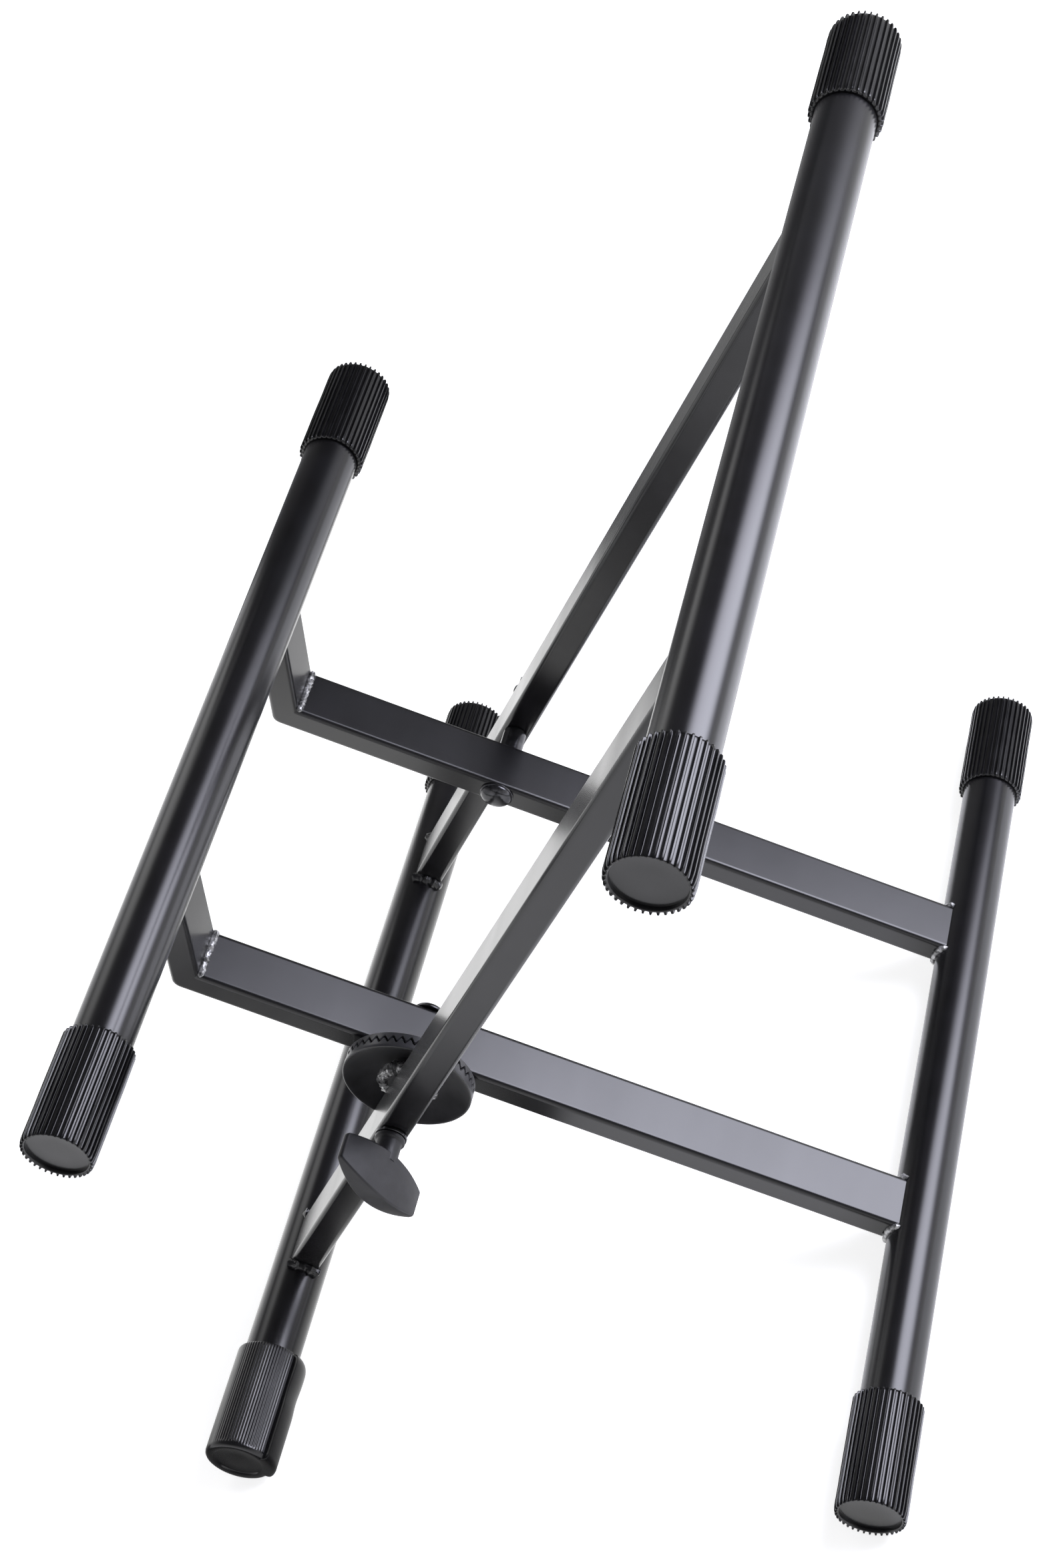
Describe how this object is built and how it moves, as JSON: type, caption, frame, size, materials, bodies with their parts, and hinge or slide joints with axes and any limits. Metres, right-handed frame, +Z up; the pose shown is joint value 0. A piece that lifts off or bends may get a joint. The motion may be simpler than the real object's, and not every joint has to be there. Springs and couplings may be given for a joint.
{
  "type": "folding amplifier stand",
  "caption": "Folding X-frame floor stand of black steel tube that tilts an amplifier back, with ribbed rubber end caps and a clamping wing knob on a ratchet pivot.",
  "frame": {"origin": "on the floor, at the centre of the stand's bounding box seen from above", "axes": "+X towards the side with the wing knob, -Y towards the front where the lip tube stops the amplifier, +Z up"},
  "size_m": [0.532, 0.3736, 0.5147],
  "materials": {
    "powder_coated_steel": "satin black powder coat, fine orange peel",
    "black_rubber": "matte moulded rubber",
    "blackened_steel": "polished black bolt heads, nut and washers",
    "zinc_steel": "bright zinc",
    "black_plastic": "fine-grained moulded nylon",
    "brass": "machined"
  },
  "bodies": {
    "support_frame": {"rear_floor_tube": "powder_coated_steel", "lip_tube": "powder_coated_steel", "support_bar_right": "powder_coated_steel", "support_bar_left": "powder_coated_steel", "rear_floor_cap_right": "black_rubber", "rear_floor_cap_left": "black_rubber", "lip_cap_right": "black_rubber", "lip_cap_left": "black_rubber", "ratchet_disc_fixed": "powder_coated_steel", "release_spring": "zinc_steel", "clamp_bolt": "blackened_steel", "pivot_bolt": "blackened_steel", "pivot_spacer": "blackened_steel", "pivot_washer": "blackened_steel", "pivot_nut": "blackened_steel"},
    "back_frame": {"front_floor_tube": "powder_coated_steel", "backrest_tube": "powder_coated_steel", "back_bar_right": "powder_coated_steel", "back_bar_left": "powder_coated_steel", "front_floor_cap_left": "black_rubber", "backrest_cap_right": "black_rubber", "backrest_cap_left": "black_rubber", "ratchet_disc_moving": "powder_coated_steel"},
    "levelling_cap": {"levelling_cap": "black_rubber"},
    "knob_washer": {"knob_washer": "blackened_steel"},
    "wing_knob": {"wing_knob": "black_plastic", "knob_insert": "brass"}
  },
  "joints": [
    {"name": "frame_tilt", "type": "hinge", "parent": "support_frame", "child": "back_frame", "pos_m": [0, -0.06938, 0.15989], "axis": [1, 0, 0], "range_deg": [-80, 56]},
    {"name": "levelling_turn", "type": "hinge", "parent": "back_frame", "child": "levelling_cap", "pos_m": [0.235, -0.16863, 0.01819], "axis": [1, 0, 0], "continuous": true},
    {"name": "knob_travel", "type": "slide", "parent": "back_frame", "child": "knob_washer", "axis": [1, 0, 0], "range_m": [0, 0.00251]},
    {"name": "knob_turn", "type": "hinge", "parent": "knob_washer", "child": "wing_knob", "pos_m": [0.17, -0.06938, 0.15989], "axis": [1, 0, 0], "range_deg": [0, 720]}
  ],
  "couplings": [
    {"joint": "knob_travel", "follows": "knob_turn", "m_per_rad": 0.00019894}
  ]
}
